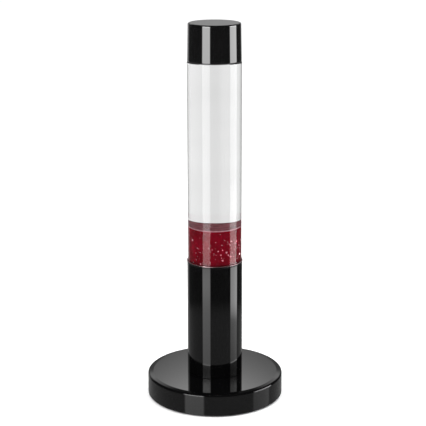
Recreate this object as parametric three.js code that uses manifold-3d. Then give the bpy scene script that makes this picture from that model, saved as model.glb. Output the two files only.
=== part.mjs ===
// Glitter lamp: a weighted disc base, a black steel column with a lampholder and a reflector
// bulb inside, a straight glass bottle standing in the column's mouth, and a loose cap on top.
// Millimetres, +Z up. The origin is the middle of the footprint, on the surface it stands on.

import * as THREE from 'three';
import { mergeVertices } from 'three/addons/utils/BufferGeometryUtils.js';
import Module from 'manifold-3d';

const wasm = await Module();
wasm.setup();

// ---------------------------------------------------------------- driving dimensions

const GAP = 0.3; // between pieces that touch

// base
const BASE_R = 64.6;
const BASE_BOTTOM = 1.2; // height of the shell's lower edge over the surface
const BASE_TOP = 22.1;
const BASE_SHEET = 1;
const BASE_FILLET = 3;
const FOOT_R = 7;
const FOOT_HEIGHT = 3;
const FOOT_CIRCLE = 50;
const PLATE_R = 63;
const PLATE_THICK = 1.5;
const PLATE_SCREW_CIRCLE = 50;
const BALLAST_R = 60;
const BALLAST_TOP = 16.4;
const BALLAST_BOSS_R = 20;
const POCKET_R = 17;
const POCKET_CEILING = 15;
const CHANNEL_WIDTH = 30; // from the pocket to the back edge, for the terminals and the cord

// cord inlet, in the middle of the back
const CORD_HOLE_R = 3.2;
const CORD_HOLE_Z = 10.2;

// column
const COLUMN_R = 26.1;
const COLUMN_WALL = 0.45;
const COLUMN_TOP = 133.8;
const RIM_R = 26.4;
const RIM_HEIGHT = 1.6;

// threaded tube that clamps base and column together
const TIE_TUBE_R = 4.85;
const TIE_TUBE_BORE_R = 3.3;
const TIE_TUBE_BOTTOM = 9.2;
const TIE_TUBE_IN_HOLDER = 7; // how far it stands up into the lampholder

// lampholder and bulb
const HOLDER_R = 13.5;
const HOLDER_CAP_HEIGHT = 12;
const HOLDER_SHELL_TOP = 63.1;
const HOLDER_WALL = 1.8;
const THREAD_R = 6.9; // crests of the bulb's screw cap
const THREAD_PITCH = 2.82;
const THREAD_TURNS = 5;
const BULB_R = 19.5;
const BULB_NECK_Z = 65.5; // lower end of the glass, all heights in the bulb go up from here
const BULB_NECK_R = 6.3;
const BULB_BOWL = 28.6; // height at which the bowl is widest
const BULB_HEIGHT = 45.8;
const BULB_WALL = 0.7;
const COIL_R = 6.5;
const COIL_HEIGHT = 25.6;

// bottle
const BOTTLE_BOTTOM = 117.7;
const BOTTLE_R = 25.35;
const BOTTLE_WALL = 2.2;
const BOTTLE_FLOOR = 3;
const SHOULDER_Z = 318.5; // where the straight side ends
const SHOULDER_R = 3.5;
const SHOULDER_DEG = 52; // how far the shoulder turns before the slope to the neck
const NECK_R = 12.2;
const NECK_BORE_R = 9.6;
const NECK_Z = 331;
const BOTTLE_TOP = 346;
const INTERFACE_Z = 167.5; // between the red liquid and the clear one
const FILL_Z = 327;

// cap
const CAP_BOTTOM = 322;
const CAP_TOP = 357;
const CAP_BOTTOM_R = 25;
const CAP_TOP_R = 24.4;
const CAP_WALL = 0.8;

// sides of the round pieces
const WIDE = 64;
const MEDIUM = 36;
const SMALL = 20;
const TINY = 12;

// derived heights, from the surface up
const PLATE_BOTTOM = FOOT_HEIGHT + GAP;
const PLATE_TOP = PLATE_BOTTOM + PLATE_THICK;
const COLUMN_FOOT = BASE_TOP + GAP;
const CUP_FLOOR = 1.2;
const HOLDER_BOTTOM = COLUMN_FOOT + CUP_FLOOR + GAP;
const CORE_BOTTOM = HOLDER_BOTTOM + HOLDER_CAP_HEIGHT + GAP;
const CORE_HEIGHT = 6;
const CONTACT_BOTTOM = CORE_BOTTOM + CORE_HEIGHT + GAP;
const BULB_TIP = CONTACT_BOTTOM + 2.4;
const COLUMN_BORE_R = COLUMN_R - COLUMN_WALL;

// ---------------------------------------------------------------- materials

const paint = (color, roughness, metalness, opacity = 1) =>
  new THREE.MeshStandardMaterial({ color, roughness, metalness, opacity, transparent: opacity < 1 });

const BLACK_LACQUER = paint(0x0b0b0c, 0.08, 0.1);
const BARE_STEEL = paint(0x8f9193, 0.35, 0.9);
const CAST_IRON = paint(0x3a3a3c, 0.7, 0.6);
const BRASS = paint(0xb59a55, 0.3, 0.9);
const RUBBER = paint(0x161617, 0.8, 0);
const BAKELITE = paint(0x1c1a19, 0.35, 0);
const CERAMIC = paint(0xe9e6dd, 0.5, 0);
const NYLON = paint(0xe4e2da, 0.5, 0);
const SILICONE = paint(0xb9b6ae, 0.6, 0);
const CLEAR_GLASS = paint(0xf4f7f7, 0.02, 0, 0.3);
const BULB_GLASS = paint(0xeeeeea, 0.15, 0, 0.5);
const CLEAR_LIQUID = paint(0xf0f4f4, 0.02, 0, 0.3);
const RED_LIQUID = paint(0x7a0c1c, 0.1, 0, 0.85);
const TUNGSTEN = paint(0x55565a, 0.4, 0.9);
const BROWN_LEAD = paint(0x5b3a22, 0.5, 0);
const BLUE_LEAD = paint(0x2a4f86, 0.5, 0);
const GREEN_LEAD = paint(0x6d8f2c, 0.5, 0);

// ---------------------------------------------------------------- shapes

/** Points of an arc in an (r, z) outline. */
function arc(centreR, centreZ, radius, fromDeg, toDeg, steps) {
  return Array.from({ length: steps + 1 }, (_, i) => {
    const angle = THREE.MathUtils.degToRad(fromDeg + ((toDeg - fromDeg) * i) / steps);
    return [centreR + radius * Math.cos(angle), centreZ + radius * Math.sin(angle)];
  });
}

/** A solid of revolution about Z. The outline starts and ends on the axis, its outside going up. */
function turned(outline, sides) {
  const points = outline.map(([r, z]) => new THREE.Vector2(r, z));
  return new THREE.LatheGeometry(points, sides).rotateX(Math.PI / 2);
}

/** A ring about Z, whose outline closes on itself, its outside going up. */
function ring(outline, sides) {
  return turned([...outline, outline[0]], sides);
}

/** A plain ring of rectangular section. */
function washer(innerR, outerR, bottom, top, sides) {
  return ring([[innerR, bottom], [outerR, bottom], [outerR, top], [innerR, top]], sides);
}

/** An upright cylinder. */
function cylinder(radius, bottom, top, sides, x = 0, y = 0) {
  return new THREE.CylinderGeometry(radius, radius, top - bottom, sides)
    .rotateX(Math.PI / 2)
    .translate(x, y, (bottom + top) / 2);
}

/** A box between two corners. */
function box(low, high) {
  const size = high.map((v, i) => v - low[i]);
  const middle = high.map((v, i) => (v + low[i]) / 2);
  return new THREE.BoxGeometry(...size).translate(...middle);
}

/** A round wire along a smooth line through the points. */
function wire(points, radius, steps, sides) {
  const section = new THREE.Shape();
  section.absarc(0, 0, radius, 0, 2 * Math.PI);
  const path = new THREE.CatmullRomCurve3(points.map((p) => new THREE.Vector3(...p)));
  return new THREE.ExtrudeGeometry(section, {
    steps,
    curveSegments: sides / 2,
    extrudePath: path,
    bevelEnabled: false,
  });
}

function toSolid(geometry) {
  const plain = geometry.clone();
  plain.deleteAttribute('normal');
  plain.deleteAttribute('uv');
  const merged = mergeVertices(plain, 1e-5);
  return new wasm.Manifold(
    new wasm.Mesh({
      numProp: 3,
      vertProperties: new Float32Array(merged.attributes.position.array),
      triVerts: new Uint32Array(merged.index.array),
    }),
  );
}

function toGeometry(solid) {
  const mesh = solid.getMesh();
  const geometry = new THREE.BufferGeometry();
  geometry.setAttribute('position', new THREE.BufferAttribute(new Float32Array(mesh.vertProperties), 3));
  geometry.setIndex(new THREE.BufferAttribute(new Uint32Array(mesh.triVerts), 1));
  geometry.computeVertexNormals();
  return geometry;
}

/** The first shape joined with the others. */
function joined(first, others) {
  return toGeometry(others.reduce((sum, other) => sum.add(toSolid(other)), toSolid(first)));
}

/** The first shape with the others taken out of it. */
function cut(first, others) {
  return toGeometry(others.reduce((rest, other) => rest.subtract(toSolid(other)), toSolid(first)));
}

/** Places spaced evenly round a circle, as [x, y]. */
function placesOn(circleR, count, firstDeg) {
  return Array.from({ length: count }, (_, i) => {
    const angle = THREE.MathUtils.degToRad(firstDeg + (360 * i) / count);
    return [circleR * Math.cos(angle), circleR * Math.sin(angle)];
  });
}

const lamp = new THREE.Group();

function add(name, geometry, material) {
  const mesh = new THREE.Mesh(geometry, material);
  mesh.name = name;
  lamp.add(mesh);
  return mesh;
}

// ---------------------------------------------------------------- base

const PLATE_SCREW_R = 1.45;
const plateScrews = placesOn(PLATE_SCREW_CIRCLE, 4, 45);
const EARTH_PLACE = [-13, 0];
const BALLAST_BOTTOM = PLATE_TOP + GAP;

function makeBase() {
  const inner = BASE_R - BASE_SHEET;
  const ceiling = BASE_TOP - BASE_SHEET;
  const shell = ring(
    [
      [inner, BASE_BOTTOM],
      [BASE_R, BASE_BOTTOM],
      ...arc(BASE_R - BASE_FILLET, BASE_TOP - BASE_FILLET, BASE_FILLET, 0, 90, 4),
      [TIE_TUBE_R + GAP, BASE_TOP],
      [TIE_TUBE_R + GAP, ceiling],
      ...arc(BASE_R - BASE_FILLET, BASE_TOP - BASE_FILLET, BASE_FILLET - BASE_SHEET, 90, 0, 2),
    ],
    WIDE,
  );
  const inlet = cylinder(4.3, 0, 10, SMALL).rotateX(-Math.PI / 2).translate(0, BASE_R - 6, CORD_HOLE_Z);
  add('base_shell', cut(shell, [inlet]), BLACK_LACQUER);

  const screwHoles = plateScrews.map(([x, y]) => cylinder(PLATE_SCREW_R + GAP, 0, 12, TINY, x, y));
  const channel = box(
    [-CHANNEL_WIDTH / 2, 0, 0],
    [CHANNEL_WIDTH / 2, BALLAST_R + 2, POCKET_CEILING],
  );
  const ballast = joined(cylinder(BALLAST_R, BALLAST_BOTTOM, BALLAST_TOP, WIDE), [
    cylinder(BALLAST_BOSS_R, BALLAST_TOP - 1, ceiling - GAP, MEDIUM),
  ]);
  add(
    'ballast_weight',
    cut(ballast, [
      cylinder(POCKET_R, 0, POCKET_CEILING, MEDIUM),
      cylinder(TIE_TUBE_R + GAP, 0, BASE_TOP, SMALL),
      cylinder(1.8, 0, 19.5, TINY, ...EARTH_PLACE),
      channel,
      ...screwHoles,
    ]),
    CAST_IRON,
  );

  add('base_plate', cut(cylinder(PLATE_R, PLATE_BOTTOM, PLATE_TOP, WIDE), screwHoles), BARE_STEEL);

  plateScrews.forEach(([x, y], i) => {
    const screw = turned(
      [
        [0, PLATE_BOTTOM - 1.8],
        [2.2, PLATE_BOTTOM - 1.6],
        [3, PLATE_BOTTOM - 1],
        [3, PLATE_BOTTOM - GAP],
        [PLATE_SCREW_R, PLATE_BOTTOM - GAP],
        [PLATE_SCREW_R, 11],
        [0, 11.6],
      ],
      TINY,
    );
    add(`base_plate_screw_${i + 1}`, screw.translate(x, y, 0), BARE_STEEL);
  });

  placesOn(FOOT_CIRCLE, 4, 0).forEach(([x, y], i) => {
    const foot = turned(
      [[0, 0], [FOOT_R - 0.8, 0], [FOOT_R, 0.8], [FOOT_R, FOOT_HEIGHT], [0, FOOT_HEIGHT]],
      SMALL,
    );
    add(`rubber_foot_${i + 1}`, foot.translate(x, y, 0), RUBBER);
  });
}

// ---------------------------------------------------------------- cord inlet and wiring

const BLOCK_FRONT = 32;
const BLOCK_BACK = 46;
const BLOCK_PITCH = 8;
const TERMINAL_Z = 9.6;

function makeInlet() {
  const neckR = 4;
  const grommet = ring(
    [
      [CORD_HOLE_R, -3.1],
      [4.9, -3.1],
      [4.9, -1.6],
      [neckR, -1.6],
      [neckR, GAP],
      [5.5, GAP],
      [5.5, 1.1],
      [5, 1.6],
      [CORD_HOLE_R, 1.6],
    ],
    SMALL,
  );
  grommet.rotateX(-Math.PI / 2).translate(0, BASE_R, CORD_HOLE_Z);
  add('cord_grommet', grommet, RUBBER);
}

function makeTerminals() {
  const poles = [-BLOCK_PITCH, 0, BLOCK_PITCH];
  const bottom = PLATE_TOP + 0.6;
  const screwY = (BLOCK_FRONT + BLOCK_BACK) / 2 - 3;
  const block = box([-12, BLOCK_FRONT, bottom], [12, BLOCK_BACK, POCKET_CEILING - 0.6]);
  const holes = poles.map((x) => cylinder(2, 0, 9, TINY, x, screwY));
  add('terminal_block', cut(block, holes), NYLON);
  poles.forEach((x, i) => {
    add(`terminal_screw_${i + 1}`, cylinder(1.6, bottom + 0.8, 8.7, TINY, x, screwY), BARE_STEEL);
  });
}

/** A lead from its terminal, through the pocket, up the threaded tube to the lampholder. */
function supplyLead(side) {
  const inTube = 1.35 * side;
  const tubeTop = HOLDER_BOTTOM + TIE_TUBE_IN_HOLDER;
  return wire(
    [
      [BLOCK_PITCH * side, BLOCK_FRONT - GAP, TERMINAL_Z],
      [BLOCK_PITCH * side, BLOCK_FRONT - 5, TERMINAL_Z - 1.2],
      [5 * side, 16, 7.2],
      [2 * side, 6, 6.8],
      [inTube, 1.3, 7.4],
      [inTube, 0, 10.2],
      [inTube, 0, 20],
      [inTube, 0, tubeTop - 0.8],
      [1.8 * side, 0, tubeTop + 1.3],
      [4 * side, 0, tubeTop + 2.4],
      [5.8 * side, 0, tubeTop + 3.4],
      [6 * side, 0, CORE_BOTTOM - GAP - 0.1],
    ],
    0.9,
    36,
    8,
  );
}

function makeLeads() {
  add('live_lead', supplyLead(1), BROWN_LEAD);
  add('neutral_lead', supplyLead(-1), BLUE_LEAD);
  const [earthX, earthY] = EARTH_PLACE;
  const tagTop = POCKET_CEILING - GAP;
  const tagTail = 8;
  add(
    'earth_lead',
    wire(
      [
        [0, BLOCK_FRONT - GAP, TERMINAL_Z],
        [-1, BLOCK_FRONT - 5, TERMINAL_Z],
        [-7, 20, 11.4],
        [earthX + 0.5, 13.5, 13],
        [earthX, tagTail + GAP, tagTop - 0.9],
      ],
      0.9,
      18,
      8,
    ),
    GREEN_LEAD,
  );
  const tag = joined(cylinder(3.2, tagTop - 1, tagTop, SMALL, earthX, earthY), [
    box([earthX - 1.2, earthY + 1, tagTop - 1], [earthX + 1.2, tagTail, tagTop]),
  ]);
  add('earth_tag', cut(tag, [cylinder(1.8, 0, BASE_TOP, TINY, earthX, earthY)]), BRASS);
  const headTop = tagTop - 1 - GAP;
  const screw = turned(
    [[0, headTop - 1.8], [2.6, headTop - 1.5], [2.6, headTop], [1.5, headTop], [1.5, 19], [0, 19.2]],
    TINY,
  );
  add('earth_screw', screw.translate(earthX, earthY, 0), BRASS);
}

// ---------------------------------------------------------------- column

function makeColumn() {
  const tube = ring(
    [
      [COLUMN_BORE_R, COLUMN_FOOT],
      [COLUMN_R, COLUMN_FOOT],
      [COLUMN_R, COLUMN_TOP - RIM_HEIGHT - 0.4],
      [RIM_R, COLUMN_TOP - RIM_HEIGHT],
      [RIM_R, COLUMN_TOP - 0.4],
      [RIM_R - 0.4, COLUMN_TOP],
      [COLUMN_BORE_R + 0.2, COLUMN_TOP],
      [COLUMN_BORE_R, COLUMN_TOP - 0.3],
    ],
    MEDIUM,
  );
  add('column_tube', tube, BLACK_LACQUER);

  const cupR = COLUMN_BORE_R - GAP;
  const cup = ring(
    [
      [TIE_TUBE_R + GAP, COLUMN_FOOT],
      [cupR - 1, COLUMN_FOOT],
      [cupR, COLUMN_FOOT + 1],
      [cupR, COLUMN_FOOT + 9],
      [cupR - 1, COLUMN_FOOT + 9],
      [cupR - 1, COLUMN_FOOT + CUP_FLOOR],
      [TIE_TUBE_R + GAP, COLUMN_FOOT + CUP_FLOOR],
    ],
    MEDIUM,
  );
  add('column_foot_cup', cup, BARE_STEEL);

  const seatTop = BOTTLE_BOTTOM - GAP - 1.6 - GAP;
  const seat = ring(
    [
      [cupR - 0.8, seatTop - 9],
      [cupR, seatTop - 9],
      [cupR, seatTop - 0.5],
      [cupR - 0.5, seatTop],
      [20.3, seatTop],
      [20.3, seatTop - 0.8],
      [cupR - 0.8, seatTop - 0.8],
    ],
    MEDIUM,
  );
  add('bottle_seat_ring', seat, BARE_STEEL);
  const gasket = washer(20.5, 24.6, seatTop + GAP, BOTTLE_BOTTOM - GAP, MEDIUM);
  add('bottle_seat_gasket', gasket, SILICONE);
}

function makeTieTube() {
  const tubeTop = HOLDER_BOTTOM + TIE_TUBE_IN_HOLDER;
  add('tie_tube', washer(TIE_TUBE_BORE_R, TIE_TUBE_R, TIE_TUBE_BOTTOM, tubeTop, SMALL), BRASS);
  const washerTop = POCKET_CEILING - GAP;
  add('tie_washer', washer(TIE_TUBE_R + GAP, 9, washerTop - 1.4, washerTop, SMALL), BARE_STEEL);
  const nutTop = washerTop - 1.4 - GAP;
  const nut = cylinder(8.1, nutTop - 3, nutTop, 6);
  add('tie_nut', cut(nut, [cylinder(TIE_TUBE_R + GAP, 0, BASE_TOP, SMALL)]), BRASS);
}

// ---------------------------------------------------------------- lampholder

function makeLampholder() {
  const capTop = HOLDER_BOTTOM + HOLDER_CAP_HEIGHT;
  const floorTop = HOLDER_BOTTOM + 2.4;
  const holderCap = ring(
    [
      [TIE_TUBE_R + GAP, HOLDER_BOTTOM],
      [HOLDER_R - 2, HOLDER_BOTTOM],
      [HOLDER_R, HOLDER_BOTTOM + 2],
      [HOLDER_R, capTop],
      [HOLDER_R - HOLDER_WALL, capTop],
      [HOLDER_R - HOLDER_WALL, floorTop],
      [7.4, floorTop],
      [7.4, HOLDER_BOTTOM + 7.4],
      [TIE_TUBE_R + GAP, HOLDER_BOTTOM + 7.4],
    ],
    SMALL,
  );
  add('lampholder_cap', holderCap, BAKELITE);

  const shell = ring(
    [
      [HOLDER_R - HOLDER_WALL, capTop + GAP],
      [HOLDER_R, capTop + GAP],
      [HOLDER_R, HOLDER_SHELL_TOP - 8],
      [HOLDER_R - 1.5, HOLDER_SHELL_TOP - 7],
      [HOLDER_R - 1.5, HOLDER_SHELL_TOP - 1],
      [HOLDER_R - 2.5, HOLDER_SHELL_TOP],
      [8.4, HOLDER_SHELL_TOP],
      [8.4, HOLDER_SHELL_TOP - HOLDER_WALL],
      [HOLDER_R - 1.5 - HOLDER_WALL, HOLDER_SHELL_TOP - HOLDER_WALL],
      [HOLDER_R - 1.5 - HOLDER_WALL, HOLDER_SHELL_TOP - 9],
      [HOLDER_R - HOLDER_WALL, HOLDER_SHELL_TOP - 10],
    ],
    SMALL,
  );
  add('lampholder_shell', shell, BAKELITE);

  const coreR = HOLDER_R - HOLDER_WALL - GAP;
  const core = turned(
    [
      [0, CORE_BOTTOM],
      [coreR, CORE_BOTTOM],
      [coreR, CORE_BOTTOM + 4],
      [8.2, CORE_BOTTOM + 4],
      [8.2, CORE_BOTTOM + CORE_HEIGHT],
      [0, CORE_BOTTOM + CORE_HEIGHT],
    ],
    SMALL,
  );
  add('lampholder_core', core, CERAMIC);

  const boreR = THREAD_R + 0.45;
  const lipTop = HOLDER_SHELL_TOP - HOLDER_WALL - GAP;
  const screwShell = ring(
    [
      [boreR, CONTACT_BOTTOM],
      [boreR + 0.4, CONTACT_BOTTOM],
      [boreR + 0.4, lipTop - 0.8],
      [boreR + 1.2, lipTop - 0.4],
      [boreR + 1.2, lipTop],
      [boreR, lipTop],
    ],
    SMALL,
  );
  add('lampholder_screw_shell', screwShell, BRASS);

  const tongue = new THREE.Shape();
  tongue.moveTo(-6, 0);
  tongue.lineTo(-1.5, 0);
  tongue.lineTo(0, 1.5);
  tongue.lineTo(3, 1.5);
  tongue.lineTo(4.5, 0.8);
  tongue.lineTo(4.8, 1.2);
  tongue.lineTo(3.1, 2.1);
  tongue.lineTo(-0.3, 2.1);
  tongue.lineTo(-1.8, 0.6);
  tongue.lineTo(-6, 0.6);
  tongue.closePath();
  const contact = new THREE.ExtrudeGeometry(tongue, { depth: 3.6, bevelEnabled: false });
  contact.rotateX(Math.PI / 2).translate(0, 1.8, CONTACT_BOTTOM);
  add('lampholder_contact', contact, BRASS);
}

// ---------------------------------------------------------------- bulb

/** Outline of the pear-shaped reflector envelope, from the neck's end up to the axis. */
function envelope(offset) {
  const bowlZ = BULB_NECK_Z + BULB_BOWL;
  const top = BULB_NECK_Z + BULB_HEIGHT - offset;
  const faceR = 24 - offset;
  const edgeR = 4;
  return [
    [BULB_NECK_R - offset, BULB_NECK_Z],
    [BULB_NECK_R + 0.2 - offset, BULB_NECK_Z + 5],
    [8.6 - offset, bowlZ - 19],
    [13.4 - offset, bowlZ - 12],
    [17.4 - offset, bowlZ - 5.5],
    [BULB_R - offset, bowlZ],
    ...arc(BULB_R - edgeR, bowlZ + edgeR + 0.4, edgeR - offset, 0, 50, 2),
    ...arc(0, top - faceR, faceR, 48, 90, 4).map(([r, z]) => [Math.max(r, 0), z]),
  ];
}

function makeBulb() {
  const glass = [...envelope(BULB_WALL).reverse(), ...envelope(0)];
  add('bulb_glass', turned(glass, SMALL), BULB_GLASS);

  const tip = turned([[0, BULB_TIP], [1.8, BULB_TIP + 0.2], [2.4, BULB_TIP + 1.2], [0, BULB_TIP + 1.2]], TINY);
  add('bulb_contact', tip, BARE_STEEL);

  const insulatorBottom = BULB_TIP + 1.5;
  const insulatorTop = insulatorBottom + 2.4;
  const insulator = turned(
    [[0, insulatorBottom], [2.8, insulatorBottom], [5.4, insulatorTop], [0, insulatorTop]],
    SMALL,
  );
  add('bulb_insulator', insulator, BAKELITE);

  const capBottom = insulatorTop + GAP;
  const root = THREAD_R - 0.5;
  const ridges = Array.from({ length: THREAD_TURNS }, (_, i) => {
    const z = capBottom + 0.8 + THREAD_PITCH * i;
    return [[root, z], [THREAD_R, z + 1.1], [THREAD_R, z + 1.7]];
  }).flat();
  const threadTop = capBottom + 0.8 + THREAD_PITCH * THREAD_TURNS;
  const neckBoreR = BULB_NECK_R + 0.35;
  const screwCap = ring(
    [
      [5.3, capBottom],
      [root, capBottom],
      ...ridges,
      [root, threadTop],
      [7.5, threadTop + 1.2],
      [7.5, threadTop + 6],
      [7.1, threadTop + 6],
      [7.1, threadTop + 1.4],
      [neckBoreR - 0.2, threadTop + 0.6],
      [root - 0.45, threadTop],
      [root - 0.45, capBottom + 0.5],
      [5.3, capBottom + 0.5],
    ],
    SMALL,
  );
  add('bulb_screw_cap', screwCap, BRASS);

  const stemBottom = BULB_NECK_Z + 3.6;
  const stemTop = BULB_NECK_Z + 17.6;
  const stem = turned(
    [[0, stemBottom], [3.6, stemBottom], [2, stemBottom + 4], [1.6, stemTop], [0, stemTop + 0.6]],
    TINY,
  );
  add('bulb_stem', stem, BULB_GLASS);

  const coilZ = BULB_NECK_Z + COIL_HEIGHT;
  const coilPoints = placesOn(COIL_R, 12, -90)
    .slice(1, 12)
    .map(([x, y]) => [x, y, coilZ]);
  add('filament', wire(coilPoints, 0.45, 22, 6), TUNGSTEN);
  [1, -1].forEach((side, i) => {
    const [x, y] = coilPoints[side > 0 ? 0 : coilPoints.length - 1];
    const support = wire(
      [
        [0.8 * side, -1.9, stemTop - 4],
        [1.6 * side, -2.6, stemTop],
        [x, y - 0.4, coilZ - 2.5],
        [x, y, coilZ - 0.9],
      ],
      0.3,
      10,
      6,
    );
    add(`filament_support_${i + 1}`, support, TUNGSTEN);
  });
}

// ---------------------------------------------------------------- bottle

/** Outline of one surface of the bottle from the axis at its bottom up to the neck. */
function bottleSide(sideR, bottom, cornerR, shoulderR, shoulderZ, neckR) {
  return [
    [0, bottom],
    ...arc(sideR - cornerR, bottom + cornerR, cornerR, -90, 0, 3),
    ...arc(sideR - shoulderR, shoulderZ, shoulderR, 0, SHOULDER_DEG, 4),
    [neckR, NECK_Z],
  ];
}

function makeBottle() {
  const boreR = BOTTLE_R - BOTTLE_WALL;
  const floor = BOTTLE_BOTTOM + BOTTLE_FLOOR;
  const outside = bottleSide(BOTTLE_R, BOTTLE_BOTTOM, 3, SHOULDER_R, SHOULDER_Z, NECK_R);
  const inside = bottleSide(boreR, floor, 3, 2.5, SHOULDER_Z - 1, NECK_BORE_R);
  const lip = [
    [NECK_R, BOTTLE_TOP - 5],
    [NECK_R + 1.1, BOTTLE_TOP - 4],
    [NECK_R + 1.1, BOTTLE_TOP - 1],
    [NECK_R, BOTTLE_TOP],
    [NECK_BORE_R, BOTTLE_TOP],
  ];
  add('glass_bottle', turned([...outside, ...lip, ...inside.reverse()], MEDIUM), CLEAR_GLASS);

  const linerBottom = BOTTLE_TOP + GAP;
  const linerTop = linerBottom + 0.7;
  add('crown_liner', cylinder(12.8, linerBottom, linerTop, SMALL), SILICONE);
  const skirtR = 14.3;
  const crown = turned(
    [
      [0, linerTop + GAP],
      [13.3, linerTop + GAP],
      [skirtR - 0.6, linerTop - 0.4],
      [skirtR - 0.6, BOTTLE_TOP - 4],
      [skirtR, BOTTLE_TOP - 4.2],
      [skirtR, linerTop],
      [13.6, linerTop + GAP + 0.6],
      [0, linerTop + GAP + 0.6],
    ],
    SMALL,
  );
  add('bottle_crown_cap', crown, BARE_STEEL);

  const liquidR = boreR - GAP;
  const red = turned(
    [
      [0, floor + GAP],
      ...arc(liquidR - 3, floor + GAP + 3, 3, -90, 0, 3),
      [liquidR, INTERFACE_Z],
      [0, INTERFACE_Z],
    ],
    MEDIUM,
  );
  add('red_liquid', red, RED_LIQUID);
  const clear = turned(
    [
      [0, INTERFACE_Z + GAP],
      [liquidR, INTERFACE_Z + GAP],
      ...arc(liquidR - 2.2, SHOULDER_Z - 1.1, 2.2, 0, SHOULDER_DEG, 3),
      [13.4, FILL_Z],
      [0, FILL_Z],
    ],
    MEDIUM,
  );
  add('clear_liquid', clear, CLEAR_LIQUID);
}

// ---------------------------------------------------------------- cap

function makeCap() {
  const ceiling = CAP_TOP - CAP_WALL;
  const lip = 0.8;
  const cap = turned(
    [
      [0, ceiling],
      [CAP_TOP_R - CAP_WALL, ceiling],
      [CAP_BOTTOM_R - CAP_WALL, CAP_BOTTOM + lip],
      [CAP_BOTTOM_R - CAP_WALL, CAP_BOTTOM],
      [CAP_BOTTOM_R - 0.3, CAP_BOTTOM],
      [CAP_BOTTOM_R, CAP_BOTTOM + lip],
      [CAP_TOP_R, CAP_TOP - 0.6],
      [CAP_TOP_R - 0.2, CAP_TOP - 0.2],
      [CAP_TOP_R - 0.6, CAP_TOP],
      [0, CAP_TOP],
    ],
    MEDIUM,
  );
  add('top_cap', cap, BLACK_LACQUER);

  const collarTop = ceiling - GAP;
  const collar = washer(14.8, CAP_TOP_R - CAP_WALL - 0.4, BOTTLE_TOP - 7, collarTop, MEDIUM);
  add('cap_collar', collar, NYLON);
}

makeBase();
makeInlet();
makeTerminals();
makeLeads();
makeColumn();
makeTieTube();
makeLampholder();
makeBulb();
makeBottle();
makeCap();

export default lamp;
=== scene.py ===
"""Glitter lamp: the looks of a black disc base and column, a glass bottle with a red glitter
layer under clear liquid, and a black cap. Metres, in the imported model's frame, front towards -Y."""

import math
import random

import bmesh
import bpy
from mathutils import Matrix, Vector


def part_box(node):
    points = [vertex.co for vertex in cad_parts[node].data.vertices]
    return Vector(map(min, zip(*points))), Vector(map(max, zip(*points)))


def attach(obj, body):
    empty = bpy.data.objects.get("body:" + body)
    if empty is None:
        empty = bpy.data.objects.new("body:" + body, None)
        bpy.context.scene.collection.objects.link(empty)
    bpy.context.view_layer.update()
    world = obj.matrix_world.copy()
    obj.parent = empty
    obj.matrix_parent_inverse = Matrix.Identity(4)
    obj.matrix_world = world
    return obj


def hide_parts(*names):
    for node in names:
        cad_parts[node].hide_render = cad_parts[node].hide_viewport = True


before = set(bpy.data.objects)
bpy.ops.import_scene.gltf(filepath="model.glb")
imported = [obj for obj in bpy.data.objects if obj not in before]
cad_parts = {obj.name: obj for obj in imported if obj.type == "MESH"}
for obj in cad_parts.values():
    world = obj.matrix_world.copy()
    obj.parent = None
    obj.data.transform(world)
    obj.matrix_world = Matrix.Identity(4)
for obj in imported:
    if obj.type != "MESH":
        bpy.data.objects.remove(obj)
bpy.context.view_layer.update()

MM = 0.001
FINEST = 192  # facets round what the front view shows
FINE = 128  # round a wide piece inside or below
MEDIUM = 64
SMALL = 40
SHARP_DEG = 32  # edges over this angle stay sharp
BEVEL_DEG = 35  # and on a carried-over CAD node, edges over this one are softened
LONG_STRETCH = 2 * MM  # an outline's stretches over this length are held straight
HOLD = 0.12  # by a point this many millimetres inside each end
TIE_HOLE_R = 5.15 * MM  # the hole that the tie tube passes


def new_object(name, data):
    """An object in the scene, with a mesh, a light or a camera as its data."""
    made = bpy.data.objects.new(name, data)
    bpy.context.scene.collection.objects.link(made)
    return made


# ---------------------------------------- camera

CAMERA_DISTANCE = 1250 * MM
CAMERA_AIM_Z = 178.7 * MM
CAMERA_DOWN = 0.2631  # radians below the horizon
CAMERA_LENS = 112.6
CAMERA_SIDESTEP = -1.6 * MM
CAMERA_ROLL = -0.0019


def make_camera():
    data = bpy.data.cameras.new("camera")
    data.sensor_width = 36
    data.lens = CAMERA_LENS
    data.clip_start = 0.01
    data.clip_end = 100
    camera = new_object("camera", data)
    back = CAMERA_DISTANCE * math.cos(CAMERA_DOWN)
    up = CAMERA_DISTANCE * math.sin(CAMERA_DOWN)
    camera.location = (CAMERA_SIDESTEP, -back, CAMERA_AIM_Z + up)
    turn = Matrix.Rotation(math.pi / 2 - CAMERA_DOWN, 3, "X") @ Matrix.Rotation(CAMERA_ROLL, 3, "Z")
    camera.rotation_euler = turn.to_euler()
    bpy.context.scene.camera = camera


# ---------------------------------------- shader building


def add_node(tree, kind, inputs=None, **settings):
    """A node with its settings and inputs, where an input is a value or another node's output."""
    node = tree.nodes.new(kind)
    for key, value in settings.items():
        setattr(node, key, value)
    for key, value in (inputs or {}).items():
        socket = node.inputs[key]
        if isinstance(value, bpy.types.NodeSocket):
            tree.links.new(value, socket)
        else:
            socket.default_value = value
    return node


def calc(tree, operation, *values, clamp=False):
    """The output of a Math node."""
    node = add_node(tree, "ShaderNodeMath", dict(enumerate(values)), operation=operation)
    node.use_clamp = clamp
    return node.outputs[0]


def times(tree, first, second):
    return calc(tree, "MULTIPLY", first, second)


def ramp(tree, factor, stops):
    """The output of a Color Ramp with stops [(position, colour)]."""
    node = add_node(tree, "ShaderNodeValToRGB", {"Fac": factor})
    elements = node.color_ramp.elements
    elements.remove(elements[1])
    elements[0].position = stops[0][0]
    elements[0].color = (*stops[0][1], 1)
    for position, colour in stops[1:]:
        elements.new(position).color = (*colour, 1)
    return node.outputs["Color"]


def grey(value):
    return (value, value, value)


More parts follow.
